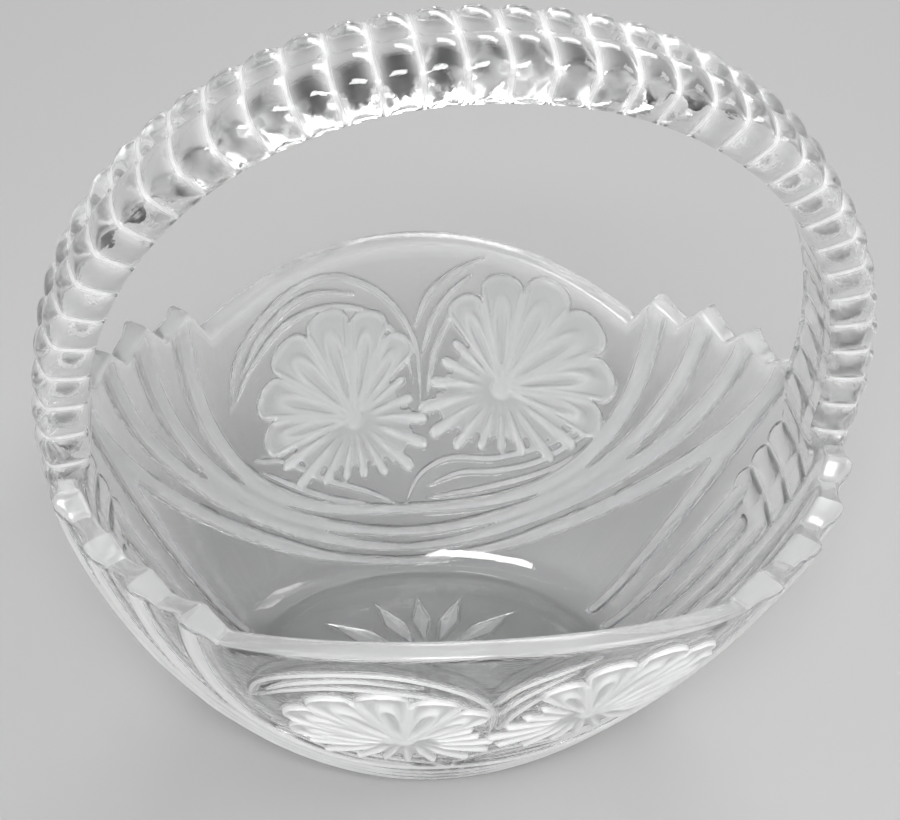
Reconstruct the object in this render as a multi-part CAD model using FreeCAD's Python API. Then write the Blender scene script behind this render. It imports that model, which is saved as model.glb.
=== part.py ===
import FreeCAD, Part
import math
import os

# Glass basket pressed in one piece. Millimetres, Z up, origin at the middle of the foot,
# X along the bowl and in the plane of the handle.

# bowl
foot_half_length = 51.0
foot_half_width = 36.0
flare_length = 48.5       # how far the end walls lean out beyond the foot
flare_width = 42.7        # how far the long walls lean out beyond the foot
flare_top = 110.0         # height where the walls would stand upright
bowl_top = 107.0          # top of the plain bowl before its rim is cut
wall = 5.5
wall_slant = 0.45         # extra level thickness where the wall leans most
floor = 9.0
floor_rounding = 6.0
wall_joint = 36.0         # angle from the bowl's long axis where an end wall meets a long wall

# rim
panel_half = 61.5         # half length of the plain arc over each long panel
panel_end_height = 84.0
panel_top_height = 99.2
tooth_peaks = [(67.1, 92.4), (78.7, 95.0), (88.0, 95.6), (94.9, 96.6)]
tooth_valleys = [(74.0, 88.6), (84.5, 90.2), (92.4, 92.2), (97.2, 94.0)]
rim_end = 120.0           # half length of the tool that cuts the rim

# ribs, widest and highest at the rim
rib_height = 2.0
rib_width = 6.4
rib_crown = 2.0
rib_sink = 1.0
rib_taper = 0.62          # share of its width that a rib keeps at its lowest
panel_rib_top = 102.0
panel_rib_lows = [20.0, 13.5, 8.6, 3.6]
panel_rib_powers = [2.4, 1.95, 1.75, 1.7]
panel_rib_sections = 17
end_rib_angles = [-22.0, -11.0, 0.0, 11.0, 22.0]
end_rib_swing = 0.28      # share of its angle that an end rib loses on its way up
end_rib_bottom = 3.2
end_rib_tops = [86.0, 60.0, 52.0, 60.0, 86.0]
end_rib_sections = 7

# handle
arch_half_length = 100.0
arch_height = 98.0
arch_centre = 106.2
arch_power = 2.1
strap_depth = 12.4
strap_half_width = 13.35
leg_bottom = 47.0
leg_depth = 4.0
leg_spread = 2.0          # extra depth of the leg where its taper ends
leg_taper_top = 101.0
leg_taper_bottom = 74.0
bump_pitch = 9.1
groove_depth = 2.2
crest_cut = 0.12          # share of the groove that also cuts the edges between the rows
bump_shoulder = 0.29      # where along its pitch a bump reaches full height

# flowers on the long panels
petal_height = 1.5
petal_sink = 0.7
petal_root = 3.4
long_petals = 6
long_petal_step = 25.0
spikes = 11
flowers = [(-17.7, 47.0, 124.0), (26.0, 55.0, 54.0)]
flower_reach = 33.0
flower_fall = 6.0
spike_reach = 17.5
spike_spread = 5.5

# leaf lines on the long panels
leaf_width = 2.4
leaf_height = 0.9
leaf_sink = 0.4
leaf_sections = 8
leaf_lines = [
    [(-54.2, 57.0), (-51.5, 76.5), (-30.0, 90.3), (-10.5, 84.0), (-1.5, 71.0)],
    [(-51.5, 61.5), (-43.0, 76.5), (-27.5, 84.5), (-10.0, 77.0), (-1.0, 62.0), (1.3, 46.0)],
    [(0.6, 76.5), (6.6, 85.8), (12.6, 89.6), (20.5, 92.8)],
    [(4.6, 64.0), (7.0, 75.5), (11.5, 83.0), (17.5, 88.6)],
    [(-5.5, 23.6), (-20.0, 29.4), (-33.0, 36.8), (-46.5, 42.8)],
    [(-10.0, 22.0), (-24.0, 25.8), (-36.0, 31.8), (-46.5, 39.4)],
    [(-1.0, 24.0), (6.0, 32.6), (22.0, 34.4), (38.0, 38.6), (54.6, 53.0)],
    [(5.0, 23.4), (21.0, 27.4), (39.0, 33.2), (55.0, 48.6)],
]

# star in the underside of the foot
star_rays = 12
star_half_length = 27.0
star_half_width = 21.0
star_hub = 3.0
star_depth = 1.6
star_ray_half_angle = 9.5

V = FreeCAD.Vector


def half_length(z):
    rise = 1 - (1 - z / flare_top) ** 1.6
    return foot_half_length + flare_length * rise ** 0.8


def half_width(z):
    rise = 1 - (1 - z / flare_top) ** 1.25
    return foot_half_width + flare_width * rise ** 0.95


def oval(z, inset):
    """Ellipse round the bowl at height z, in four arcs that meet beside the long panels."""
    ellipse = Part.Ellipse(V(0, 0, z), half_length(z) - inset, half_width(z) - inset)
    joint = math.radians(wall_joint)
    joints = [joint, math.pi - joint, math.pi + joint, 2 * math.pi - joint, 2 * math.pi + joint]
    return Part.Wire([ellipse.toShape(*ends) for ends in zip(joints, joints[1:])])


def outer_bowl():
    shares = (0, 0.023, 0.075, 0.16, 0.28, 0.43, 0.6, 0.785, 1)
    return Part.makeLoft([oval(share * bowl_top, 0) for share in shares], True, False)


def bowl_hollow():
    """Space inside the wall, with a flat floor and a rounded edge to it."""
    sections = []
    for share in (0.03, 0.1, 0.19, 0.31, 0.46, 0.63, 0.81, 1):
        z = share * bowl_top
        sections.append(oval(z, wall * (1 + wall_slant * (1 - z / flare_top) ** 2)))
    flare = Part.makeLoft(sections, True, False)
    reach = 4 * foot_half_length
    below = Part.makeBox(2 * reach, 2 * reach, floor, V(-reach, -reach, 0))
    hollow = flare.cut(below).removeSplitter()
    floor_edges = [edge for edge in hollow.Edges if abs(edge.BoundBox.ZMax - floor) < 0.01]
    return hollow.makeFillet(floor_rounding, floor_edges)


def rim_cutter():
    """Everything above the rim line: a plain arc over each panel, teeth on both sides of it."""
    left = V(-panel_half, 0, panel_end_height)
    right = V(panel_half, 0, panel_end_height)
    arc = Part.Arc(left, V(0, 0, panel_top_height), right).toShape()
    line = [(panel_half, panel_end_height)]
    for peak, valley in zip(tooth_peaks, tooth_valleys):
        line += [peak, valley]
    line += [(rim_end, tooth_valleys[-1][1]), (rim_end, 2 * flare_top)]
    right_side = [V(x, 0, z) for x, z in line]
    left_side = [V(-x, 0, z) for x, z in reversed(line)]
    outline = Part.Wire([arc, *Part.makePolygon(right_side + left_side).Edges])
    reach = 2 * half_width(bowl_top)
    cutter = Part.Face(outline).extrude(V(0, 2 * reach, 0))
    cutter.translate(V(0, -reach, 0))
    return cutter


def angle_at(x, z, side):
    """Angle round the ellipse of the wall for a place seen from the front or the back."""
    return side * math.acos(max(-1.0, min(1.0, x / half_length(z))))


def on_wall(angle, z, lift):
    """Point on the outside of the wall, lifted off it along its normal, and that normal."""
    a, b = half_length(z), half_width(z)
    x, y = a * math.cos(angle), b * math.sin(angle)
    below, above = max(z - 0.05, 0.0), z + 0.05
    a_slope = (half_length(above) - half_length(below)) / (above - below)
    b_slope = (half_width(above) - half_width(below)) / (above - below)
    normal = V(x / a ** 2, y / b ** 2, -x * x * a_slope / a ** 3 - y * y * b_slope / b ** 3)
    normal.normalize()
    return V(x, y, z) + normal * lift, normal


def ridge_sections(path, width, crown, height, sink, taper):
    """Cross-sections of a raised line on the wall.

    path holds (angle, height, taper share) places, and crown how far across from the middle
    line each of the top corners lies. At a taper share of 1 the section has its full size.
    """
    places = [on_wall(angle, z, 0) for angle, z, _ in path]
    sections = []
    for i, (point, normal) in enumerate(places):
        size = taper + (1 - taper) * path[i][2]
        before = places[max(i - 1, 0)][0]
        after = places[min(i + 1, len(places) - 1)][0]
        across = (after - before).cross(normal).normalize() * size
        low_left = point - across * (width / 2) - normal * sink
        low_right = point + across * (width / 2) - normal * sink
        high = [point + across * reach + normal * height * size for reach in crown]
        sections.append([low_left, *high, low_right])
    return sections


def rib(path):
    crown = [-rib_crown / 2, rib_crown / 2]
    sections = ridge_sections(path, rib_width, crown, rib_height, rib_sink, rib_taper)
    return Part.makeLoft([Part.makePolygon(s + s[:1]) for s in sections], True, False)


def panel_rib(half, low, power, side):
    """Rib from a rim tooth down, under the panel and up to the tooth on the other side."""
    path = []
    for i in range(panel_rib_sections):
        turn = math.pi * i / (panel_rib_sections - 1)
        x = half * math.copysign(abs(math.cos(turn)) ** (2 / power), math.cos(turn))
        z = panel_rib_top - (panel_rib_top - low) * math.sin(turn) ** (2 / power)
        path.append((angle_at(x, z, side), z, abs(x) / half))
    return rib(path)


def end_rib(angle, top, end):
    """Rib on an end wall, from the foot up beside or under the handle."""
    path = []
    for i in range(end_rib_sections):
        share = i / (end_rib_sections - 1)
        z = end_rib_bottom + (top - end_rib_bottom) * share
        turn = math.radians(angle * (1 - end_rib_swing * share ** 2))
        path.append((turn if end > 0 else math.pi - turn, z, share))
    return rib(path)


def ribs():
    pieces = []
    for side in (-1, 1):
        for peak, low, power in zip(tooth_peaks, panel_rib_lows, panel_rib_powers):
            pieces.append(panel_rib(peak[0], low, power, side))
        for angle, top in zip(end_rib_angles, end_rib_tops):
            pieces.append(end_rib(angle, top, side))
    return pieces


def arch_point(turn, inset):
    """Point on the arch of the handle, moved in along its normal."""
    c, s = math.cos(turn), math.sin(turn)
    x = arch_half_length * math.copysign(abs(c) ** (2 / arch_power), c)
    z = arch_height * math.copysign(abs(s) ** (2 / arch_power), s)
    normal = V(
        math.copysign(abs(x / arch_half_length) ** (arch_power - 1) / arch_half_length, x),
        0,
        math.copysign(abs(z / arch_height) ** (arch_power - 1) / arch_height, z),
    )
    normal.normalize()
    return V(x, 0, z + arch_centre) - normal * inset


def arch_stations():
    """Places along the arch, three for each bump: (angle, whether it is in a groove)."""
    lowest = -math.asin(((arch_centre - leg_bottom) / arch_height) ** (arch_power / 2))
    samples = 1200
    turns = [lowest + (math.pi - 2 * lowest) * i / samples for i in range(samples + 1)]
    points = [arch_point(turn, 0) for turn in turns]
    lengths = [0.0]
    for first, second in zip(points, points[1:]):
        lengths.append(lengths[-1] + second.distanceToPoint(first))
    bumps = round(lengths[-1] / bump_pitch)
    stations, at = [], 0
    for i in range(3 * bumps + 1):
        share = (0, bump_shoulder, 1 - bump_shoulder)[i % 3]
        length = (i // 3 + share) * lengths[-1] / bumps
        while at < samples - 1 and lengths[at + 1] < length:
            at += 1
        part = (length - lengths[at]) / (lengths[at + 1] - lengths[at])
        stations.append((turns[at] + (turns[at + 1] - turns[at]) * part, i % 3 == 0))
    return stations


def depth_at(z):
    """Depth of the strap: full in the arch, thinning where the legs run into the wall."""
    share = max(0.0, min(1.0, (z - leg_taper_bottom) / (leg_taper_top - leg_taper_bottom)))
    smooth = share * share * (3 - 2 * share)
    leg_share = max(0.0, min(1.0, (z - leg_bottom) / (leg_taper_bottom - leg_bottom)))
    leg = leg_depth + leg_spread * leg_share
    return leg + (strap_depth - leg) * smooth


def strap_section(turn, grooved):
    """Cross-section of the strap: two rows of bumps on top, one on each side, plain inside."""
    depth = depth_at(arch_point(turn, 0).z)
    cut = groove_depth if grooved else 0.0
    w = strap_half_width
    half = [
        (0.13 * depth + crest_cut * cut, 0.0),
        (cut, 0.28 * w),
        (0.07 * depth + cut, 0.67 * w),
        (0.3 * depth + crest_cut * cut, 0.93 * w - crest_cut * cut),
        (0.6 * depth, w - 0.8 * cut),
        (depth, 0.76 * w),
    ]
    outline = half + [(inset, -y) for inset, y in reversed(half[1:])]
    points = []
    for inset, y in outline:
        point = arch_point(turn, inset)
        points.append(V(point.x, y, point.z))
    return points


def faceted_solid(points, faces):
    """Closed solid from flat faces, each given by the numbers of its corners."""
    sides = [Part.Face(Part.makePolygon([points[i] for i in [*face, face[0]]])) for face in faces]
    solid = Part.Solid(Part.makeShell(sides))
    if solid.Volume < 0:
        solid.reverse()
    return solid


def skinned(sections):
    """Closed solid with flat facets from one cross-section to the next."""
    count = len(sections[0])
    points = [p for section in sections for p in section]
    faces = [tuple(range(count)), tuple(len(points) - 1 - i for i in range(count))]
    for row in range(len(sections) - 1):
        for i in range(count):
            j = (i + 1) % count
            low, high = row * count, (row + 1) * count
            faces += [(low + i, high + i, high + j), (low + i, high + j, low + j)]
    return faceted_solid(points, faces)


def handle():
    return skinned([strap_section(*station) for station in arch_stations()])


def panel_place(centre, reach, direction, side, lift):
    x = centre[0] + reach * math.cos(direction)
    z = centre[1] + reach * math.sin(direction)
    return on_wall(angle_at(x, z, side), z, lift)[0]


def petal(centre, direction, reach, half_angle, side):
    """Rounded petal: a low scalloped edge round a higher inner lobe with a ridge."""
    def place(share, swing, lift):
        return panel_place(centre, reach * share, direction + swing * half_angle, side, lift)

    root = petal_root / reach
    edge = [place(root, 0, -petal_sink), place(0.62, 0.95, -petal_sink), place(0.86, 0.86, -petal_sink),
            place(0.98, 0.45, -petal_sink), place(0.98, -0.45, -petal_sink),
            place(0.86, -0.86, -petal_sink), place(0.62, -0.95, -petal_sink)]
    lobe = [place(0.62, 0.55, petal_height * 0.6), place(0.84, 0.4, petal_height * 0.6),
            place(0.84, -0.4, petal_height * 0.6), place(0.62, -0.55, petal_height * 0.6)]
    top = [place(root * 1.6, 0, petal_height * 0.7), place(0.66, 0, petal_height)]
    faces = [
        (0, 1, 11), (1, 7, 11), (1, 2, 7), (2, 8, 7), (2, 3, 8), (3, 4, 8), (4, 9, 8),
        (4, 5, 9), (5, 10, 9), (5, 6, 10), (6, 11, 10), (6, 0, 11),
        (7, 12, 11), (7, 8, 12), (8, 9, 12), (9, 10, 12), (10, 11, 12),
        (0, 6, 1), (6, 5, 1), (5, 2, 1), (5, 4, 2), (4, 3, 2),
    ]
    return faceted_solid(edge + lobe + top, faces)


def kite(place, root, low, high):
    """Pointed facets round one ridge, wide in the middle: a narrow petal or a ray of the star."""
    points = [place(root, 0, low), place(0.62, 1, low), place(1, 0, low), place(0.62, -1, low),
              place(0.6, 0, high)]
    return faceted_solid(points, [(0, 1, 4), (1, 2, 4), (2, 3, 4), (3, 0, 4), (0, 3, 1), (3, 2, 1)])


def spike(centre, direction, reach, half_angle, side):
    def place(share, swing, lift):
        return panel_place(centre, reach * share, direction + swing * half_angle, side, lift)

    return kite(place, petal_root / reach, -petal_sink, petal_height * 0.8)


def flower(x, z, axis, side):
    """Half-turned bloom: long rounded petals one way, short pointed ones the other."""
    pieces = []
    for i in range(long_petals):
        off_axis = (i - (long_petals - 1) / 2) * long_petal_step
        reach = flower_reach + flower_fall * (math.cos(math.radians(1.6 * off_axis)) - 0.5)
        half_angle = math.radians(long_petal_step * 0.47)
        pieces.append(petal((x, z), math.radians(axis + off_axis), reach, half_angle, side))
    spike_step = (360 - long_petals * long_petal_step) / spikes
    for i in range(spikes):
        off_axis = (i - (spikes - 1) / 2) * spike_step
        reach = spike_reach + spike_spread * (1 - math.cos(math.radians(off_axis)))
        direction = math.radians(axis + 180 + off_axis)
        pieces.append(spike((x, z), direction, reach, math.radians(spike_step * 0.42), side))
    return pieces


def leaf_line(places, side):
    """Thin raised line through the given places."""
    curve = Part.BSplineCurve()
    curve.interpolate([V(x, 0, z) for x, z in places])
    path = []
    for i in range(leaf_sections):
        share = i / (leaf_sections - 1)
        at = curve.value(curve.FirstParameter + (curve.LastParameter - curve.FirstParameter) * share)
        path.append((angle_at(at.x, at.z, side), at.z, 1))
    return skinned(ridge_sections(path, leaf_width, [0.0], leaf_height, leaf_sink, 1))


def panel_relief():
    pieces = []
    for side in (-1, 1):
        for x, z, axis in flowers:
            pieces += flower(x, z, axis, side)
        pieces += [leaf_line(places, side) for places in leaf_lines]
    return pieces


def star_ray(direction):
    """Notch with sloping faces, pressed up into the underside."""
    def place(share, swing, height):
        turn = direction + swing * math.radians(star_ray_half_angle)
        return V(star_half_length * share * math.cos(turn), star_half_width * share * math.sin(turn), height)

    return kite(place, star_hub / star_half_length, -0.5, star_depth)


def glass_basket():
    rays = [star_ray(2 * math.pi * (i + 0.5) / star_rays) for i in range(star_rays)]
    bowl = outer_bowl().fuse(ribs() + panel_relief())
    bowl = bowl.cut([bowl_hollow(), rim_cutter(), *rays])
    return bowl.fuse(handle())


os.makedirs("parts", exist_ok=True)
basket = glass_basket()
basket.exportStep("parts/glass_basket.step")
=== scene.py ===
import math

import bpy
import numpy as np
from mathutils import Matrix, Vector
from mathutils.kdtree import KDTree


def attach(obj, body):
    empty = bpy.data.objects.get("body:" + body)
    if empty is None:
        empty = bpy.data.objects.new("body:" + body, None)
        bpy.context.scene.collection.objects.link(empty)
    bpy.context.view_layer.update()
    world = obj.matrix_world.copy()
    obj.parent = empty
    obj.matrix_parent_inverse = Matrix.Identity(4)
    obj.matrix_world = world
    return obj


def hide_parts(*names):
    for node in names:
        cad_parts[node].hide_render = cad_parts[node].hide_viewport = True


# The basket's sizes are in millimetres here, and the scene is in metres.
MM = 0.001

# glass: fineness, strength and depth (in metres) of its unevenness, and its values from clear to frosted,
# which also carry the painted highlights
GLASS_COLOUR = (0.965, 0.97, 0.97)
GLASS_IOR = 1.52
SMOOTH_NOISE = (60, 0.08)
GRAINED_NOISE = (900, 0.25)
NOISE_DETAIL = 3.0
NOISE_DEPTH = 0.0004
ROUGHNESS = (0.015, 0.6)
ROUGHNESS_FROST_AND_HIGHLIGHT = (0.2, 0.6)
TRANSMISSION = (1.0, 0.1)
TRANSMISSION_FROST_AND_HIGHLIGHT = (0.0, 1.0)

# bowl, the same form as the solid
FOOT_HALF_LENGTH = 51.0
FOOT_HALF_WIDTH = 36.0
FLARE_LENGTH = 48.5
FLARE_WIDTH = 42.7
FLARE_TOP = 110.0
FLARE_LENGTH_BEND = (1.6, 0.8)
FLARE_WIDTH_BEND = (1.25, 0.95)
WALL = 5.5
WALL_SLANT = 0.45
FLOOR = 9.0
FLOOR_ROUNDING = 6.0
FLOOR_ROUNDING_WIDTH = 4.8
RIM_ROUNDING = 1.3
FOOT_BEVEL = 0.5
SLOPE_STEP = 0.05

# rim
PANEL_HALF = 61.5
PANEL_END_HEIGHT = 84.0
PANEL_TOP_HEIGHT = 99.2
TOOTH_X = [PANEL_HALF, 67.1, 74.0, 78.7, 84.5, 88.0, 92.4, 94.9, 97.2, 120.0]
TOOTH_Z = [PANEL_END_HEIGHT, 92.4, 88.6, 95.0, 90.2, 95.6, 92.2, 96.6, 94.0, 94.0]
TOOTH_PEAKS = TOOTH_X[1:9:2]
RIM_ROUGH_HEIGHT = 94.0
RIM_GUESSES = 12
RIM_TURNS = [30, 60, 90]
RELIEF_ON_RIM = 0.6 * WALL

# ribs
RIB_HEIGHT = 2.2
RIB_HALF_WIDTH = 3.0
RIB_TAPER = 0.62
RIDGE_ROUNDNESS = 0.8
PANEL_RIB_TOP = 102.0
PANEL_RIB_LOWS = [20.0, 13.5, 8.6, 3.6]
PANEL_RIB_POWERS = [2.4, 1.95, 1.75, 1.7]
END_RIB_ANGLES = [-22.0, -11.0, 0.0, 11.0, 22.0]
END_RIB_SWING = 0.28
END_RIB_BOTTOM = 3.2
END_RIB_TOPS = [86.0, 60.0, 52.0, 60.0, 86.0]
PANEL_RIB_POINTS = 700
END_RIB_POINTS = 220

# handle
ARCH_HALF_LENGTH = 100.0
ARCH_HEIGHT = 98.0
ARCH_CENTRE = 106.2
ARCH_POWER = 2.1
STRAP_DEPTH = 12.4
STRAP_HALF_WIDTH = 13.35
LEG_BOTTOM = 47.0
LEG_DEPTH = 4.0
LEG_SPREAD = 2.0
LEG_TAPER_TOP = 101.0
LEG_TAPER_BOTTOM = 74.0
BUMP_PITCH = 9.1
GROOVE_DEPTH = 2.2
CREST_CUT = 0.12
BUMP_ROUNDNESS = 0.8

# half cross-section of the strap, in shares of its depth and half width: ends and pulls of its curves
STRAP_CREST = (0.13, 0.0)
STRAP_CORNER = (0.3, 0.93)
STRAP_INNER = (1.0, 0.76)
STRAP_MIDDLE = (1.01, 0.0)
TOP_PULLS = [(-0.09, 0.26), (-0.04, 0.84)]
SIDE_PULLS = [(0.46, 1.04), (0.84, 1.0)]
INSIDE_PULLS = [(1.01, 0.5), (1.01, 0.25)]
TOP_POINTS = 10
SIDE_POINTS = 7
INSIDE_POINTS = 3

# flowers: middle along the panel, middle height, direction of the long petals, size
FLOWERS = [(-17.2, 47.0, 119.0, 0.94), (26.0, 55.0, 54.0, 1.0)]
PAD_HEIGHT = 0.7
PAD_EDGE = 1.1
PAD_BEND = 0.7
LINE_HEIGHT = 1.0
LINE_EDGE = 0.8
RIM_CLEARANCE = 2.0
FOOT_CLEARANCE = 2.5
FLOWER_MIDDLE = 3.0

# long petals: lengths, their rounded ends, the scalloped line along their edge and the loop inside it
LONG_PETALS = 6
LONG_PETAL_STEP = 25.0
PETAL_REACH = 33.0
PETAL_FALL = 6.0
PETAL_FALL_TURN = 1.6
PETAL_SHOULDER = 0.83
PETAL_BLUNTNESS = 2.4
EDGE_PLACE = 1.0
EDGE_HALF_WIDTH = 0.75
EDGE_RISE = 0.6
EDGE_BESIDE = 0.4
LOBE_WIDTH = 0.5
LOBE_START = 0.5
LOBE_END = 0.76
LOBE_LINE = 0.3
LOBE_ROOT = (0.15, 0.2)

# short fingers: lengths, the web between them and the line along their middle
FINGERS = 11
FINGER_REACH_UP = 19.5
FINGER_REACH_DOWN = 25.5
FINGER_DROP = 18.5
FINGER_LEAST_FALL = 0.1
FINGER_WEB = 0.78
FINGER_TIP_WIDTH = 0.55
FINGER_LINE_WIDTH = 0.45
FINGER_LINE_BEND = 0.6
FINGER_LINE_ROOT = (0.2, 0.3)
FINGER_LINE_END = 0.06

# leaf lines on the panels
LEAF_HEIGHT = 0.9
LEAF_HALF_WIDTH = 1.1
LEAF_TIP = 0.35
LEAF_POINTS = 240
LEAF_LINES = [
    [(-53.8, 57.9), (-51.9, 71.0), (-42.0, 82.6), (-24.6, 88.3), (-9.6, 81.6), (-0.7, 70.2), (2.7, 49.0)],
    [(-52.6, 60.0), (-46.7, 69.2), (-36.4, 77.8), (-23.8, 79.7), (-11.9, 76.0), (-3.0, 66.2), (0.4, 55.3)],
    [(-50.6, 66.5), (-44.0, 76.5), (-31.7, 83.9), (-17.5, 82.6)],
    [(0.2, 71.6), (4.5, 81.9), (12.1, 88.0), (20.4, 92.2)],
    [(2.4, 63.7), (6.0, 75.2), (11.2, 82.3), (16.6, 87.2)],
    [(4.4, 52.1), (6.6, 65.4), (10.3, 74.1), (14.7, 81.3)],
    [(-47.7, 42.7), (-38.6, 39.5), (-28.9, 33.0), (-9.2, 23.9), (-3.4, 20.8)],
    [(-46.0, 39.2), (-35.5, 32.0), (-25.7, 26.4), (-12.0, 22.0)],
    [(-2.0, 21.0), (2.3, 29.3), (8.0, 33.2), (25.7, 35.4), (37.3, 40.0), (53.4, 51.9)],
    [(4.8, 26.3), (13.8, 30.0), (25.8, 31.7), (37.4, 36.2), (47.1, 43.9), (54.9, 51.6)],
    [(4.2, 22.6), (21.9, 26.4), (32.2, 30.2), (41.4, 35.2), (50.2, 42.6)],
]

# star in the underside
STAR_RAYS = 12
STAR_HALF_LENGTH = 40.0
STAR_HALF_WIDTH = 25.0
STAR_HUB = 0.12
STAR_WIDEST = 0.6
STAR_DEPTH = 1.7
STAR_RAY_HALF_WIDTH = 3.4
STAR_LEAST_WIDTH = 1e-6

# floor and backdrop, in metres but for the air under the foot
FLOOR_SIZE = 12.0
FLOOR_GAP = 0.15
FLOOR_FADE = (0.4, 0.95)
FLOOR_ROUGHNESS = 0.7
FLOOR_COLOUR = (0.385, 0.385, 0.385)
BACKDROP_COLOUR = (0.535, 0.535, 0.535)
WORLD_LIGHT = (0.47, 0.47, 0.47)
CEILING_FADE = (0.4, 0.85)
CEILING_SHADE = 0.12

# lamps, in metres: name, place, size and power
LAMPS = [
    ("key", (-0.26, -1.01, 1.36), (0.8, 0.6), 29),
    ("fill", (1.0, -0.2, 1.1), (0.5, 0.5), 5),
    ("back", (0.3, 1.2, 0.9), (0.8, 0.4), 6),
]
LAMP_AIM = (0, 0, 0.08)

# camera, fitted to the photograph: place in metres, turns in degrees, lens and sensor in millimetres
CAMERA_PLACE = (-0.06783, -0.28249, 0.35716)
CAMERA_YAW = -13.107
CAMERA_PITCH = 41.559
CAMERA_ROLL = 6.520
CAMERA_LENS = 63.664
CAMERA_SENSOR = 36.0
CAMERA_NEAR = 0.01

# how finely the meshes are cut
COARSENESS = 1.0
PANEL_SPACING = 0.44 * COARSENESS
END_SPACING = 1.0 * COARSENESS
LOW_SPACING = 0.75 * COARSENESS
COLUMN_STEPS = 4000
COLUMN_MULTIPLE = 4
FINE_HALF = 0.93 * PANEL_HALF
FINE_HALF_FADE = 8.0
ROW_STEPS = 500
FINE_BOTTOM = 21.0
FINE_BOTTOM_FADE = 4.0
INNER_ROWS = 30
INNER_SPREAD = 0.9
FLOOR_ROWS = 9
FOOT_SHARES = [0.992, 0.965, 0.88]
STAR_SHARES = (0.8, 0.04)
STAR_ROWS = 34
ARCH_STEPS = 3000
STATIONS_PER_BUMP = 8
CREASE_ANGLE = 38.0

# places of the pieces' materials on the joined glass
PIECES = ["front_wall", "back_wall", "flowers", "handle"]
FRONT, BACK, PETALS, HANDLE = range(4)

# how white the frosting is, as a share of the flowers' whitest lines; on the ribs, leaf lines, rim, handle
# grooves and the flowers' raised lines this whiteness is painted highlight
FROST_AND_PAINTED_HIGHLIGHT = "frost_and_painted_highlight"
# the flowers' pads are frosted; their raised lines are made whiter up to 1 as painted highlight
PETAL_FROST = 0.45
FROST_EDGE = 0.7
# painted highlight: the leaf lines are made whiter for the highlights on their ridges
LEAF_PAINTED_HIGHLIGHT = 0.85
# painted highlight: the clear ribs are made whiter along their crests for their highlights
RIB_PAINTED_HIGHLIGHT = 0.7
RIB_HIGHLIGHT_STARTS = 0.2
RIB_HIGHLIGHT_FULL = 0.6
# painted highlight: the rounded rim is made whiter for the highlights on the rim and teeth
RIM_PAINTED_HIGHLIGHT = 0.3
# painted highlight: the grooves between the handle's bumps are made whiter
GROOVE_PAINTED_HIGHLIGHT = 0.55
GROOVE_HIGHLIGHT_BEND = 1.5
GROOVE_HIGHLIGHT_DEPTH = 0.95
STAR_FROST = 1.0


def flare(z, bend):
    """Share of the bowl's flare that is reached at a height."""
    return (1 - (1 - z / FLARE_TOP) ** bend[0]) ** bend[1]


def half_length(z):
    return FOOT_HALF_LENGTH + FLARE_LENGTH * flare(z, FLARE_LENGTH_BEND)


def half_width(z):
    return FOOT_HALF_WIDTH + FLARE_WIDTH * flare(z, FLARE_WIDTH_BEND)


def rim_height(x):
    """Height of the rim over a place along the bowl: an arc on the panels, teeth beside them."""
    across = np.abs(x)
    rise = PANEL_TOP_HEIGHT - PANEL_END_HEIGHT
    radius = (PANEL_HALF ** 2 + rise ** 2) / (2 * rise)
    arc = PANEL_TOP_HEIGHT - radius + np.sqrt(radius ** 2 - np.minimum(across, PANEL_HALF) ** 2)
    return np.where(across < PANEL_HALF, arc, np.interp(across, TOOTH_X, TOOTH_Z))


def wall_place(angle, z):
    """Points on the plain outside of the wall and the normals there."""
    a = half_length(z)
    b = half_width(z)
    x = a * np.cos(angle)
    y = b * np.sin(angle)
    below = np.maximum(z - SLOPE_STEP, 0.0)
    above = z + SLOPE_STEP
    a_slope = (half_length(above) - half_length(below)) / (above - below)
    b_slope = (half_width(above) - half_width(below)) / (above - below)
    normal = np.stack([x / a ** 2, y / b ** 2, -x * x * a_slope / a ** 3 - y * y * b_slope / b ** 3], -1)
    normal /= np.linalg.norm(normal, axis=-1, keepdims=True)
    return np.stack([x, y, z], -1), normal


def smooth_step(share):
    share = np.clip(share, 0.0, 1.0)
    return share * share * (3 - 2 * share)


def panel_rib_lines():
    """Middle lines of the ribs round the panels: points on the wall and the rib's size there."""
    lines = []
    turn = np.linspace(0, math.pi, PANEL_RIB_POINTS)
    for half, low, power in zip(TOOTH_PEAKS, PANEL_RIB_LOWS, PANEL_RIB_POWERS):
        x = half * np.sign(np.cos(turn)) * np.abs(np.cos(turn)) ** (2 / power)
        z = PANEL_RIB_TOP - (PANEL_RIB_TOP - low) * np.sin(turn) ** (2 / power)
        angle = np.arccos(np.clip(x / half_length(z), -1, 1))
        size = RIB_TAPER + (1 - RIB_TAPER) * np.abs(x) / half
        for side in (-1, 1):
            lines.append((wall_place(side * angle, z)[0], size))
    return lines


def end_rib_lines():
    """Middle lines of the ribs under both legs of the handle."""
    lines = []
    share = np.linspace(0, 1, END_RIB_POINTS)
    for degrees, top in zip(END_RIB_ANGLES, END_RIB_TOPS):
        z = END_RIB_BOTTOM + (top - END_RIB_BOTTOM) * share
        angle = math.radians(degrees) * (1 - END_RIB_SWING * share ** 2)
        size = RIB_TAPER + (1 - RIB_TAPER) * share
        lines.append((wall_place(angle, z)[0], size))
        lines.append((wall_place(math.pi - angle, z)[0], size))
    return lines


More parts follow.
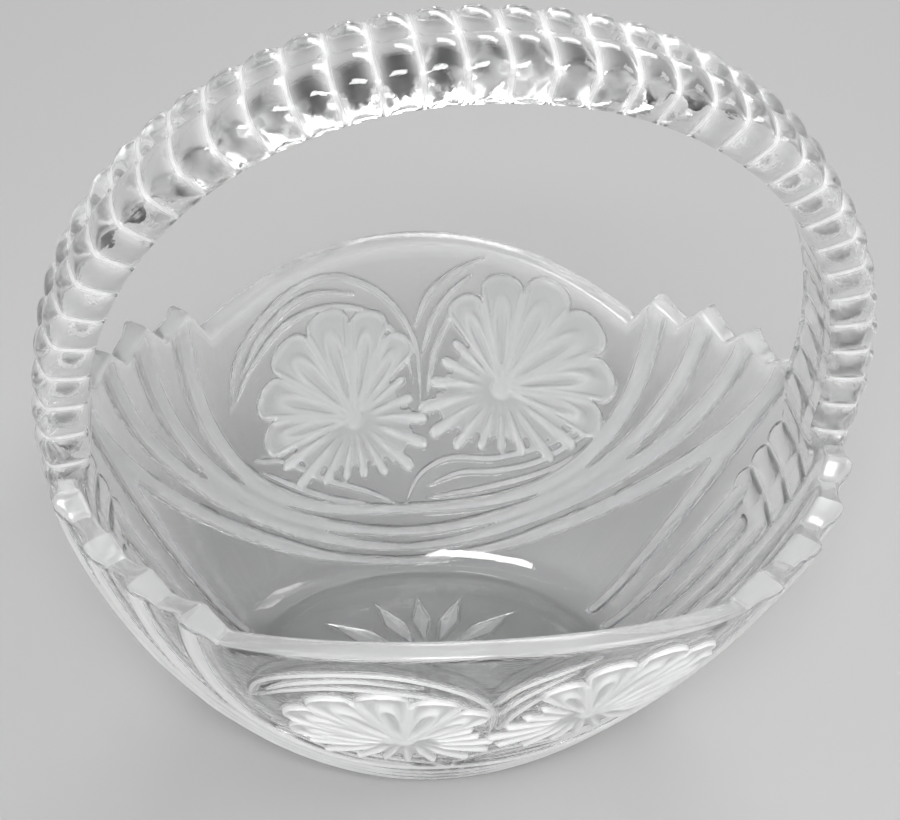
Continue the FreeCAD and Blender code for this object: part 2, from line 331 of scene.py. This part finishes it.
def smooth_path(places, count):
    """Points along a curve through the given places."""
    known = np.array(places)
    gaps = np.linalg.norm(np.diff(known, axis=0), axis=1)
    at = np.concatenate([[0], np.cumsum(gaps)])
    slopes = np.gradient(known, at, axis=0)
    points = []
    for share in np.linspace(0, at[-1], count):
        i = min(np.searchsorted(at, share, side="right") - 1, len(known) - 2)
        span = at[i + 1] - at[i]
        t = (share - at[i]) / span
        points.append(
            (2 * t ** 3 - 3 * t ** 2 + 1) * known[i] + (t ** 3 - 2 * t ** 2 + t) * span * slopes[i]
            + (3 * t ** 2 - 2 * t ** 3) * known[i + 1] + (t ** 3 - t ** 2) * span * slopes[i + 1]
        )
    return np.array(points)


def leaf_lines():
    """Leaf and stem lines on both long sides."""
    lines = []
    for places in LEAF_LINES:
        path = smooth_path(places, LEAF_POINTS)
        angle = np.arccos(np.clip(path[:, 0] / half_length(path[:, 1]), -1, 1))
        ends = np.linspace(0, 1, len(path))
        size = LEAF_TIP + (1 - LEAF_TIP) * np.sqrt(np.clip(4 * ends * (1 - ends), 0, 1))
        for side in (-1, 1):
            lines.append((wall_place(side * angle, path[:, 1])[0], size))
    return lines


def ridges(points, lines, half_width_of_line, height):
    """Height of rounded ridges along the lines, at each of the points."""
    samples = np.concatenate([line for line, _ in lines])
    sizes = np.concatenate([size for _, size in lines])
    tree = KDTree(len(samples))
    for i, sample in enumerate(samples):
        tree.insert(sample, i)
    tree.balance()
    lift = np.zeros(len(points))
    for i, point in enumerate(points):
        _, nearest, distance = tree.find(point)
        reach = half_width_of_line * sizes[nearest]
        if distance < reach:
            lift[i] = height * sizes[nearest] * (1 - (distance / reach) ** 2) ** RIDGE_ROUNDNESS
    return lift


def edge_line(distance):
    """Share of a raised line along an edge, by distance inside the edge."""
    return np.exp(-((distance - EDGE_PLACE) / EDGE_HALF_WIDTH) ** 2) * smooth_step(distance / EDGE_RISE)


def softened(heights):
    """Heights on the closed grid, averaged a little with their neighbours."""
    along = (np.roll(heights, 1, axis=1) + 2 * heights + np.roll(heights, -1, axis=1)) / 4
    up = along.copy()
    up[1:-1] = (along[:-2] + 2 * along[1:-1] + along[2:]) / 4
    return up


def petal_lines(reach, length, swing):
    """Place inside a long petal and its raised lines: the scalloped outline and the inner loop."""
    across = np.abs(swing)
    share = reach / length
    tip = np.sqrt(np.clip(1 - across ** PETAL_BLUNTNESS, 0, 1))
    end = PETAL_SHOULDER + (1 - PETAL_SHOULDER) * tip
    side = (1 - across) * reach * math.tan(math.radians(LONG_PETAL_STEP / 2))
    outline = edge_line(np.minimum((end - share) * length, side + EDGE_BESIDE))
    beyond = np.maximum(share - LOBE_START, 0) / (LOBE_END - LOBE_START)
    loop = np.exp(-((np.hypot(across / LOBE_WIDTH, beyond) - 1) / LOBE_LINE) ** 2)
    loop = loop * smooth_step((share - LOBE_ROOT[0]) / LOBE_ROOT[1])
    return (end - share) * length, np.maximum(outline, loop)


def finger_lines(reach, length, swing):
    """Place inside a short finger of the flower and the raised line along its middle."""
    across = np.abs(swing)
    share = reach / length
    tip = np.sqrt(np.clip(1 - (across / FINGER_TIP_WIDTH) ** 2, 0, 1))
    end = FINGER_WEB + (1 - FINGER_WEB) * tip
    middle = np.clip(1 - (across / FINGER_LINE_WIDTH) ** 2, 0, 1) ** FINGER_LINE_BEND
    middle = middle * smooth_step((share - FINGER_LINE_ROOT[0]) / FINGER_LINE_ROOT[1])
    return (end - share) * length, middle * smooth_step((1 - share) / FINGER_LINE_END)


def petal_step(turn):
    """Direction of the middle of the long petal at each place, from the flower's own direction."""
    return (np.floor(turn / LONG_PETAL_STEP + LONG_PETALS / 2) + 0.5 - LONG_PETALS / 2) * LONG_PETAL_STEP


def finger_length(direction):
    """Length of a finger by its direction: longer where it points down, cut off at a level line."""
    fall = -np.sin(np.radians(direction))
    length = FINGER_REACH_UP + (FINGER_REACH_DOWN - FINGER_REACH_UP) * smooth_step(0.5 + 2 * fall)
    return np.minimum(length, FINGER_DROP / np.maximum(fall, FINGER_LEAST_FALL))


def flower_relief(x, z):
    """Both flowers over a panel seen from the front: distance inside the edge, share of a line."""
    inside = np.full_like(x, -1.0)
    lines = np.zeros_like(x)
    petals_half = LONG_PETALS * LONG_PETAL_STEP / 2
    finger_step = (360 - 2 * petals_half) / FINGERS
    for middle_x, middle_z, axis, size in FLOWERS:
        reach = np.hypot(x - middle_x, z - middle_z) / size
        turn = (np.degrees(np.arctan2(z - middle_z, x - middle_x)) - axis + 180) % 360 - 180
        step = petal_step(turn)
        length = PETAL_REACH + PETAL_FALL * (np.cos(np.radians(PETAL_FALL_TURN * step)) - 0.5)
        petals = petal_lines(reach, length, 2 * (turn - step) / LONG_PETAL_STEP)
        rest = (turn - petals_half) % 360
        step = (np.floor(rest / finger_step) + 0.5) * finger_step
        length = finger_length(axis + petals_half + step)
        fingers = finger_lines(reach, length, 2 * (rest - step) / finger_step)
        on_petals = np.abs(turn) < petals_half
        edge = np.where(on_petals, petals[0], fingers[0])
        line = np.where(on_petals, petals[1], fingers[1])
        line = np.maximum(line, np.sqrt(np.clip(1 - (reach / FLOWER_MIDDLE) ** 2, 0, 1)))
        nearer = edge > inside
        inside = np.where(nearer, edge, inside)
        lines = np.where(nearer, line, lines)
    return inside, np.where(inside > 0, lines, 0.0)


def star_notch(x, y):
    """Depth of the star pressed into the underside: pointed rays, widest past their middle."""
    share = np.hypot(x / STAR_HALF_LENGTH, y / STAR_HALF_WIDTH)
    step = 2 * math.pi / STAR_RAYS
    swing = (np.arctan2(y, x) + step / 2) % step - step / 2
    across = np.hypot(x, y) * np.abs(np.sin(swing))
    half = np.minimum((share - STAR_HUB) / (STAR_WIDEST - STAR_HUB), (1 - share) / (1 - STAR_WIDEST))
    half = np.clip(half, 0, 1)
    width = np.maximum(half * STAR_RAY_HALF_WIDTH, STAR_LEAST_WIDTH)
    return np.where(half > 0, STAR_DEPTH * half * np.clip(1 - across / width, 0, 1), 0.0)


def spread(places, gaps, spacing, multiple=1):
    """Places picked so that their distance follows the wanted spacing at each gap."""
    at = np.concatenate([[0], np.cumsum(gaps / spacing)])
    count = multiple * round(at[-1] / multiple)
    return np.interp(np.arange(count + 1) * at[-1] / count, at, places)


def column_angles():
    """Angles round the bowl, closer together over the panels."""
    fine = np.linspace(0, 2 * math.pi, COLUMN_STEPS + 1)
    x = half_length(RIM_ROUGH_HEIGHT) * np.cos(fine)
    y = half_width(RIM_ROUGH_HEIGHT) * np.sin(fine)
    off_panel = smooth_step((np.abs(x[1:]) - FINE_HALF) / FINE_HALF_FADE)
    spacing = PANEL_SPACING + (END_SPACING - PANEL_SPACING) * off_panel
    return spread(fine, np.hypot(np.diff(x), np.diff(y)), spacing, COLUMN_MULTIPLE)[:-1]


def row_shares():
    """Heights of the rows as shares of the rim's height, closer together beside the flowers."""
    z = np.linspace(0, PANEL_TOP_HEIGHT, ROW_STEPS)
    below = smooth_step((FINE_BOTTOM - z[1:]) / FINE_BOTTOM_FADE)
    spacing = PANEL_SPACING + (LOW_SPACING - PANEL_SPACING) * below
    gaps = np.hypot(np.diff(half_width(z)), np.diff(z))
    return spread(z, gaps, spacing) / PANEL_TOP_HEIGHT


def rim_over(angle):
    """Height of the rim at each angle round the bowl."""
    z = np.full_like(angle, RIM_ROUGH_HEIGHT)
    for _ in range(RIM_GUESSES):
        z = 0.5 * z + 0.5 * rim_height(half_length(z) * np.cos(angle))
    return z


def outer_rows(angle, top):
    """Outside of the wall, from the foot up: points, lift of the relief, frosting with its painted
    highlights, petals' area.
    """
    z = FOOT_BEVEL + (top - RIM_ROUNDING - FOOT_BEVEL)[None, :] * row_shares()[:, None]
    place, normal = wall_place(np.broadcast_to(angle, z.shape), z)
    flat = place.reshape(-1, 3)
    ribs = ridges(flat, panel_rib_lines() + end_rib_lines(), RIB_HALF_WIDTH, RIB_HEIGHT)
    ribs = softened(ribs.reshape(z.shape))
    leaves = ridges(flat, leaf_lines(), LEAF_HALF_WIDTH, LEAF_HEIGHT).reshape(z.shape)
    inside, lines = flower_relief(place[..., 0], z)
    pad = PAD_HEIGHT * smooth_step(inside / PAD_EDGE) ** PAD_BEND
    petals = np.where(inside > 0, pad + LINE_HEIGHT * lines * smooth_step(inside / LINE_EDGE), 0.0)
    below_rim = smooth_step((top[None, :] - z - RIM_ROUNDING) / RIM_CLEARANCE)
    lift = softened(np.maximum(ribs, np.maximum(leaves, petals) * below_rim))
    lift = lift * smooth_step(z / FOOT_CLEARANCE)
    # painted highlight: rib crests and leaf lines made whiter for the highlights on them
    crests = (ribs / RIB_HEIGHT - RIB_HIGHLIGHT_STARTS) / (RIB_HIGHLIGHT_FULL - RIB_HIGHLIGHT_STARTS)
    wall_painted_highlights = np.maximum(LEAF_PAINTED_HIGHLIGHT * leaves / LEAF_HEIGHT, RIB_PAINTED_HIGHLIGHT * smooth_step(crests))
    # frosted pads, with their raised lines made whiter still as painted highlight
    pads = (PETAL_FROST + (1 - PETAL_FROST) * lines) * smooth_step(inside / FROST_EDGE)
    frost_and_painted_highlight = softened(np.maximum(pads, wall_painted_highlights)) * below_rim
    return place + normal * lift[..., None], lift, frost_and_painted_highlight, inside > 0


def rim_rows(angle, top, lift):
    """Rounded edge over the rim, from the outside to the inside."""
    rows = []
    turns = np.radians(RIM_TURNS)
    steps = [(RIM_ROUNDING * (1 - math.cos(t)), RIM_ROUNDING * (math.sin(t) - 1)) for t in turns]
    inner = [(WALL - inset, drop) for inset, drop in reversed(steps)]
    for inset, drop in [*steps, *inner, (WALL, -RIM_ROUNDING)]:
        z = top + drop
        place, normal = wall_place(angle, z)
        along = (half_length(z) - inset) / half_length(z)
        across = (half_width(z) - inset) / half_width(z)
        keep = max(0.0, 1 - inset / RELIEF_ON_RIM)
        moved = place * np.stack([along, across, np.ones_like(z)], -1)
        rows.append(moved + normal * (lift * keep)[:, None])
    return np.array(rows)


def inner_rows(angle, top):
    """Smooth inside of the wall down to the floor, then across the floor."""
    share = np.linspace(0, 1, INNER_ROWS + 1)[1:]
    rows = []
    start = top - RIM_ROUNDING
    round_top = FLOOR + FLOOR_ROUNDING
    for part in share ** INNER_SPREAD:
        z = start + (FLOOR - start) * part
        drop = np.clip((round_top - z) / FLOOR_ROUNDING, 0, 1)
        inset = WALL * (1 + WALL_SLANT * (1 - z / FLARE_TOP) ** 2)
        inset = inset + FLOOR_ROUNDING_WIDTH * (1 - np.sqrt(1 - drop ** 2))
        rows.append(np.stack([(half_length(z) - inset) * np.cos(angle),
                              (half_width(z) - inset) * np.sin(angle), z], -1))
    edge = rows[-1]
    for part in np.linspace(1, 0, FLOOR_ROWS)[1:-1]:
        rows.append(edge * [part, part, 1])
    return np.array(rows)


def underside_rows(angle):
    """Flat underside with its pressed star, from the foot's edge inwards."""
    rows = []
    shares = np.concatenate([FOOT_SHARES, np.linspace(*STAR_SHARES, STAR_ROWS)])
    for part in shares:
        x = FOOT_HALF_LENGTH * part * np.cos(angle)
        y = FOOT_HALF_WIDTH * part * np.sin(angle)
        rows.append(np.stack([x, y, star_notch(x, y)], -1))
    return np.array(rows)


def grid_faces(rows, columns, offset=0):
    """Quads between neighbouring rows of a closed grid, facing outwards when the rows run up."""
    row, column = np.meshgrid(np.arange(rows - 1), np.arange(columns), indexing="ij")
    beside = (column + 1) % columns
    low = row * columns
    high = low + columns
    quads = np.stack([low + column, low + beside, high + beside, high + column], -1)
    return (quads + offset).reshape(-1, 4)


def mesh_object(name, points, faces):
    """Object in the scene from points in millimetres."""
    mesh = bpy.data.meshes.new(name)
    mesh.from_pydata((np.asarray(points) * MM).tolist(), [], [list(map(int, f)) for f in faces])
    mesh.update()
    piece = bpy.data.objects.new(name, mesh)
    bpy.context.scene.collection.objects.link(piece)
    return piece


def set_frost_and_painted_highlight(piece, shares):
    """Keep how frosted the surface is at each point of the mesh, painted highlights included."""
    frost_and_painted_highlight = piece.data.attributes.new(FROST_AND_PAINTED_HIGHLIGHT, "FLOAT", "POINT")
    frost_and_painted_highlight.data.foreach_set("value", np.asarray(shares, np.float32))


def bowl_faces(fine_count, inner_count, under_count, columns):
    """Faces of the closed bowl: its three grids, the seams between them, and both middles."""
    half = columns // 2
    inner_start = fine_count * columns
    under_start = inner_start + inner_count * half
    floor_middle = under_start + under_count * half
    under_middle = floor_middle + 1
    last_fine = inner_start - columns
    last_inner = under_start - half
    last_under = floor_middle - half

    faces = grid_faces(fine_count, columns).tolist()
    faces += grid_faces(inner_count, half, inner_start).tolist()
    faces += grid_faces(under_count, half, under_start)[:, ::-1].tolist()
    for i in range(half):
        j = (i + 1) % half
        left, middle, right = 2 * i, 2 * i + 1, 2 * j
        faces.append((last_fine + left, last_fine + middle, inner_start + i))
        faces.append((last_fine + middle, last_fine + right, inner_start + j, inner_start + i))
        faces.append((left, under_start + i, middle))
        faces.append((middle, under_start + i, under_start + j, right))
        faces.append((last_inner + i, last_inner + j, floor_middle))
        faces.append((last_under + j, last_under + i, under_middle))
    return faces


def bowl_slots(points, faces, petals):
    """Piece that each face of the bowl belongs to: the front wall, the back wall or the flowers."""
    middle_y = np.array([points[list(face), 1].mean() for face in faces])
    slots = np.where(middle_y < 0, FRONT, BACK)
    beside = np.roll(petals, -1, axis=1)
    whole = petals[:-1] & petals[1:] & beside[:-1] & beside[1:]
    slots[: whole.size][whole.reshape(-1)] = PETALS
    return slots.astype(np.int32)


def bowl_object():
    """The bowl as one closed mesh, its faces marked as front, back and flowers."""
    angle = column_angles()
    top = rim_over(angle)
    outer, lift, frost_and_painted_highlight, petals = outer_rows(angle, top)
    rim = rim_rows(angle, top, lift[-1])
    inner = inner_rows(angle[::2], top[::2])
    under = underside_rows(angle[::2])
    middles = np.array([[0, 0, FLOOR], [0, 0, 0]])
    points = np.concatenate([grid.reshape(-1, 3) for grid in (outer, rim, inner, under, middles)])
    faces = bowl_faces(len(outer) + len(rim), len(inner), len(under), len(angle))
    piece = mesh_object("basket", points, faces)
    piece.data.polygons.foreach_set("material_index", bowl_slots(points, faces, petals))
    # painted highlight: the whole rounded rim is made whiter
    rim_painted_highlight = np.full(rim[..., 0].size, RIM_PAINTED_HIGHLIGHT)
    inner_frost = np.zeros(inner[..., 0].size)
    star_frost = STAR_FROST * under[..., 2].reshape(-1) / STAR_DEPTH
    set_frost_and_painted_highlight(piece, np.concatenate([frost_and_painted_highlight.reshape(-1), rim_painted_highlight, inner_frost, star_frost, [0, 0]]))
    return piece


def arch_place(turn, inset):
    """Points on the arch of the handle, moved in along its normal, in its own plane."""
    cosine = np.cos(turn)
    sine = np.sin(turn)
    x = ARCH_HALF_LENGTH * np.sign(cosine) * np.abs(cosine) ** (2 / ARCH_POWER)
    z = ARCH_HEIGHT * np.sign(sine) * np.abs(sine) ** (2 / ARCH_POWER)
    power = ARCH_POWER - 1
    across = np.sign(x) * np.abs(x / ARCH_HALF_LENGTH) ** power / ARCH_HALF_LENGTH
    up = np.sign(z) * np.abs(z / ARCH_HEIGHT) ** power / ARCH_HEIGHT
    length = np.hypot(across, up)
    return x - inset * across / length, z + ARCH_CENTRE - inset * up / length


def strap_depth(z):
    """Depth of the strap at a height: full over the rim, thin down the legs."""
    smooth = smooth_step((z - LEG_TAPER_BOTTOM) / (LEG_TAPER_TOP - LEG_TAPER_BOTTOM))
    leg_share = np.clip((z - LEG_BOTTOM) / (LEG_TAPER_BOTTOM - LEG_BOTTOM), 0, 1)
    leg = LEG_DEPTH + LEG_SPREAD * leg_share
    return leg + (STRAP_DEPTH - leg) * smooth


def bezier(corners, count):
    """Points along a cubic curve, without its last one."""
    t = np.linspace(0, 1, count, endpoint=False)[:, None]
    p, q, r, s = (np.array(corner) for corner in corners)
    return (1 - t) ** 3 * p + 3 * (1 - t) ** 2 * t * q + 3 * (1 - t) * t ** 2 * r + t ** 3 * s


def strap_outline(depth, cut):
    """Cross-section of the strap as (inset, across), its outer face lower by the cut of a groove."""
    size = np.array([depth, STRAP_HALF_WIDTH])
    crest = STRAP_CREST * size + [CREST_CUT * cut, 0]
    corner = STRAP_CORNER * size + [CREST_CUT * cut, -CREST_CUT * cut]
    inner = STRAP_INNER * size
    middle = STRAP_MIDDLE * size
    top = bezier([crest, *(TOP_PULLS * size + [cut, 0]), corner], TOP_POINTS)
    side = bezier([corner, *(SIDE_PULLS * size - [0, cut]), inner], SIDE_POINTS)
    inside = bezier([inner, *(INSIDE_PULLS * size), middle], INSIDE_POINTS)
    half = np.concatenate([top, side, inside])
    mirrored = half[1:][::-1] * [1, -1]
    return np.concatenate([half, [middle], mirrored])


def handle_rows():
    """Cross-sections along the arch, rounded bumps with sharp grooves between them, and the painted
    highlight in the grooves.
    """
    lowest = -math.asin(((ARCH_CENTRE - LEG_BOTTOM) / ARCH_HEIGHT) ** (ARCH_POWER / 2))
    turns = np.linspace(lowest, math.pi - lowest, ARCH_STEPS + 1)
    x, z = arch_place(turns, 0)
    length = np.concatenate([[0], np.cumsum(np.hypot(np.diff(x), np.diff(z)))])
    bumps = round(length[-1] / BUMP_PITCH)
    shares = np.arange(bumps * STATIONS_PER_BUMP + 1) / STATIONS_PER_BUMP
    turn = np.interp(shares / bumps * length[-1], length, turns)
    rows = []
    frost_and_painted_highlight = []
    for angle, share in zip(turn, shares):
        bulge = abs(math.sin(math.pi * share)) ** BUMP_ROUNDNESS
        depth = float(strap_depth(arch_place(angle, 0)[1]))
        outline = strap_outline(depth, GROOVE_DEPTH * (1 - bulge))
        px, pz = arch_place(angle, outline[:, 0])
        rows.append(np.stack([px, outline[:, 1], pz], -1))
        # painted highlight: whiter in the grooves between the bumps
        groove = GROOVE_PAINTED_HIGHLIGHT * (1 - bulge) ** GROOVE_HIGHLIGHT_BEND
        frost_and_painted_highlight.append(np.where(outline[:, 0] < GROOVE_HIGHLIGHT_DEPTH * depth, groove, 0.0))
    return np.array(rows), np.concatenate(frost_and_painted_highlight)


def handle_object():
    """Arch handle as one closed mesh."""
    rows, frost_and_painted_highlight = handle_rows()
    count = rows.shape[1]
    points = np.concatenate([rows.reshape(-1, 3), [rows[0].mean(0)], [rows[-1].mean(0)]])
    faces = grid_faces(len(rows), count).tolist()
    first = len(points) - 2
    last = len(points) - 1
    end = (len(rows) - 1) * count
    for i in range(count):
        j = (i + 1) % count
        faces.append((j, i, first))
        faces.append((end + i, end + j, last))
    piece = mesh_object("handle", points, faces)
    piece.data.polygons.foreach_set("material_index", np.full(len(faces), HANDLE, np.int32))
    set_frost_and_painted_highlight(piece, np.concatenate([frost_and_painted_highlight, [0, 0]]))
    return piece


def join_glass(bowl, handle):
    """One closed surface round the bowl and the handle."""
    join = bowl.modifiers.new("join", "BOOLEAN")
    join.operation = "UNION"
    join.solver = "MANIFOLD"
    join.object = handle
    bpy.context.view_layer.objects.active = bowl
    bpy.ops.object.modifier_apply(modifier=join.name)
    bpy.data.objects.remove(handle)


def part_by_material(piece):
    """Separate pieces for the materials of the joined glass, smooth but for sharp creases."""
    bpy.ops.object.select_all(action="DESELECT")
    piece.select_set(True)
    bpy.context.view_layer.objects.active = piece
    bpy.ops.object.shade_smooth_by_angle(angle=math.radians(CREASE_ANGLE))
    bpy.ops.mesh.separate(type="MATERIAL")
    parts = list(bpy.context.selected_objects)
    for part in parts:
        part.name = part.data.materials[part.data.polygons[0].material_index].name
    return parts


def glass_noise(tree, shader, fineness):
    """Faint unevenness of pressed glass."""
    scale, strength = fineness
    noise = tree.nodes.new("ShaderNodeTexNoise")
    noise.inputs["Scale"].default_value = scale
    noise.inputs["Detail"].default_value = NOISE_DETAIL
    bump = tree.nodes.new("ShaderNodeBump")
    bump.inputs["Strength"].default_value = strength
    bump.inputs["Distance"].default_value = NOISE_DEPTH
    tree.links.new(noise.outputs["Fac"], bump.inputs["Height"])
    tree.links.new(bump.outputs["Normal"], shader.inputs["Normal"])


def ramp(tree, socket, places, results, way="SMOOTHSTEP"):
    """Value that runs between two results while a socket's value runs between two places."""
    node = tree.nodes.new("ShaderNodeMapRange")
    node.interpolation_type = way
    node.inputs["From Min"].default_value = places[0]
    node.inputs["From Max"].default_value = places[1]
    node.inputs["To Min"].default_value = results[0]
    node.inputs["To Max"].default_value = results[1]
    tree.links.new(socket, node.inputs["Value"])
    return node.outputs["Result"]


def frost_and_highlight_ramp(tree, socket, frosts, values):
    """Lead a socket between two values by how frosted the surface is, painted highlights included."""
    attribute = tree.nodes.new("ShaderNodeAttribute")
    attribute.attribute_name = FROST_AND_PAINTED_HIGHLIGHT
    tree.links.new(ramp(tree, attribute.outputs["Fac"], frosts, values, "LINEAR"), socket)


def glass_material(name, fineness):
    """Clear glass that turns whitish and matt where its surface is frosted, and where that whiteness is
    painted highlight.
    """
    material = bpy.data.materials.new(name)
    material.use_nodes = True
    shader = material.node_tree.nodes["Principled BSDF"]
    shader.inputs["Base Color"].default_value = (*GLASS_COLOUR, 1.0)
    shader.inputs["IOR"].default_value = GLASS_IOR
    glass_noise(material.node_tree, shader, fineness)
    frost_and_highlight_ramp(material.node_tree, shader.inputs["Roughness"], ROUGHNESS_FROST_AND_HIGHLIGHT, ROUGHNESS)
    frost_and_highlight_ramp(material.node_tree, shader.inputs["Transmission Weight"], TRANSMISSION_FROST_AND_HIGHLIGHT, TRANSMISSION)
    return material


def smooth_glass(name):
    return glass_material(name, SMOOTH_NOISE)


def grained_glass(name):
    return glass_material(name, GRAINED_NOISE)


def plain_material(name, colour, roughness):
    material = bpy.data.materials.new(name)
    material.use_nodes = True
    shader = material.node_tree.nodes["Principled BSDF"]
    shader.inputs["Base Color"].default_value = (*colour, 1.0)
    shader.inputs["Roughness"].default_value = roughness
    return material


def seen_directly(tree):
    """1 for rays from the camera, also through glass or off it, and 0 for rays that light things."""
    path = tree.nodes.new("ShaderNodeLightPath")
    total = path.outputs["Is Camera Ray"]
    for name in ("Is Glossy Ray", "Is Transmission Ray"):
        either = tree.nodes.new("ShaderNodeMath")
        either.operation = "MAXIMUM"
        tree.links.new(total, either.inputs[0])
        tree.links.new(path.outputs[name], either.inputs[1])
        total = either.outputs["Value"]
    return total


def far_share(tree):
    """0 on the floor round the basket, rising to 1 where the floor runs into the backdrop."""
    place = tree.nodes.new("ShaderNodeNewGeometry")
    distance = tree.nodes.new("ShaderNodeVectorMath")
    distance.operation = "LENGTH"
    tree.links.new(place.outputs["Position"], distance.inputs[0])
    return ramp(tree, distance.outputs["Value"], FLOOR_FADE, (0, 1))


def floor_material():
    """Pale floor that turns into the plain backdrop away from the basket."""
    material = plain_material("pale_floor", FLOOR_COLOUR, FLOOR_ROUGHNESS)
    tree = material.node_tree
    backdrop = tree.nodes.new("ShaderNodeEmission")
    backdrop.inputs["Color"].default_value = (*BACKDROP_COLOUR, 1.0)
    share = tree.nodes.new("ShaderNodeMath")
    share.operation = "MULTIPLY"
    mix = tree.nodes.new("ShaderNodeMixShader")
    tree.links.new(seen_directly(tree), share.inputs[0])
    tree.links.new(far_share(tree), share.inputs[1])
    tree.links.new(share.outputs["Value"], mix.inputs["Fac"])
    tree.links.new(tree.nodes["Principled BSDF"].outputs["BSDF"], mix.inputs[1])
    tree.links.new(backdrop.outputs["Emission"], mix.inputs[2])
    tree.links.new(mix.outputs["Shader"], tree.nodes["Material Output"].inputs["Surface"])
    return material


def add_floor():
    bpy.ops.mesh.primitive_plane_add(size=FLOOR_SIZE, location=(0, 0, -FLOOR_GAP * MM))
    floor = bpy.context.object
    floor.name = "floor"
    floor.data.materials.append(floor_material())


def add_lamp(name, place, size, power):
    """Soft rectangular lamp aimed at the basket."""
    lamp = bpy.data.lights.new(name, "AREA")
    lamp.shape = "RECTANGLE"
    lamp.size, lamp.size_y = size
    lamp.energy = power
    holder = bpy.data.objects.new(name, lamp)
    holder.location = place
    aim = Vector(LAMP_AIM) - Vector(place)
    holder.rotation_euler = aim.to_track_quat("-Z", "Y").to_euler()
    bpy.context.scene.collection.objects.link(holder)


def add_lights():
    for name, place, size, power in LAMPS:
        add_lamp(name, place, size, power)


def overhead_shade(tree):
    """Strength of the backdrop by direction: 1 round the sides, lower under the dim ceiling."""
    direction = tree.nodes.new("ShaderNodeTexCoord")
    parts = tree.nodes.new("ShaderNodeSeparateXYZ")
    tree.links.new(direction.outputs["Generated"], parts.inputs["Vector"])
    return ramp(tree, parts.outputs["Z"], CEILING_FADE, (1, CEILING_SHADE))


def add_world():
    """Soft light from all round, with the plain backdrop where it is seen directly."""
    world = bpy.data.worlds.new("studio")
    world.use_nodes = True
    tree = world.node_tree
    light = tree.nodes["Background"]
    light.inputs["Color"].default_value = (*WORLD_LIGHT, 1.0)
    backdrop = tree.nodes.new("ShaderNodeBackground")
    backdrop.inputs["Color"].default_value = (*BACKDROP_COLOUR, 1.0)
    tree.links.new(overhead_shade(tree), backdrop.inputs["Strength"])
    mix = tree.nodes.new("ShaderNodeMixShader")
    tree.links.new(seen_directly(tree), mix.inputs["Fac"])
    tree.links.new(light.outputs["Background"], mix.inputs[1])
    tree.links.new(backdrop.outputs["Background"], mix.inputs[2])
    tree.links.new(mix.outputs["Shader"], tree.nodes["World Output"].inputs["Surface"])
    bpy.context.scene.world = world


def add_camera():
    """Camera that sees the basket as the photograph does."""
    yaw, pitch, roll = (math.radians(v) for v in (CAMERA_YAW, CAMERA_PITCH, CAMERA_ROLL))
    back = Vector((math.sin(yaw) * math.cos(pitch), -math.cos(yaw) * math.cos(pitch), math.sin(pitch)))
    level = Vector((math.cos(yaw), math.sin(yaw), 0))
    upright = back.cross(level)
    right = level * math.cos(roll) + upright * math.sin(roll)
    up = upright * math.cos(roll) - level * math.sin(roll)
    camera = bpy.data.cameras.new("camera")
    camera.lens = CAMERA_LENS
    camera.sensor_width = CAMERA_SENSOR
    camera.clip_start = CAMERA_NEAR
    holder = bpy.data.objects.new("camera", camera)
    holder.matrix_world = Matrix.Translation(CAMERA_PLACE) @ Matrix((right, up, back)).transposed().to_4x4()
    bpy.context.scene.collection.objects.link(holder)
    bpy.context.scene.camera = holder


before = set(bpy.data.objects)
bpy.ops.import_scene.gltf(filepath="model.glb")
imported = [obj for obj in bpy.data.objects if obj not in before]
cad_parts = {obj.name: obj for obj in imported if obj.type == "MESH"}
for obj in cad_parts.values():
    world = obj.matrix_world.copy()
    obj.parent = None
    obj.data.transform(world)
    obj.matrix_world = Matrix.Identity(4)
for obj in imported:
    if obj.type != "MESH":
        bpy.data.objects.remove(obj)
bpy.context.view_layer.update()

basket = bowl_object()
handle = handle_object()
for name in PIECES:
    material = grained_glass(name) if name == "flowers" else smooth_glass(name)
    basket.data.materials.append(material)
    handle.data.materials.append(material)
join_glass(basket, handle)
for piece in part_by_material(basket):
    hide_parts("glass_basket")
    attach(piece, "root")

add_floor()
add_lights()
add_world()
add_camera()
bpy.context.scene.view_settings.view_transform = "Standard"
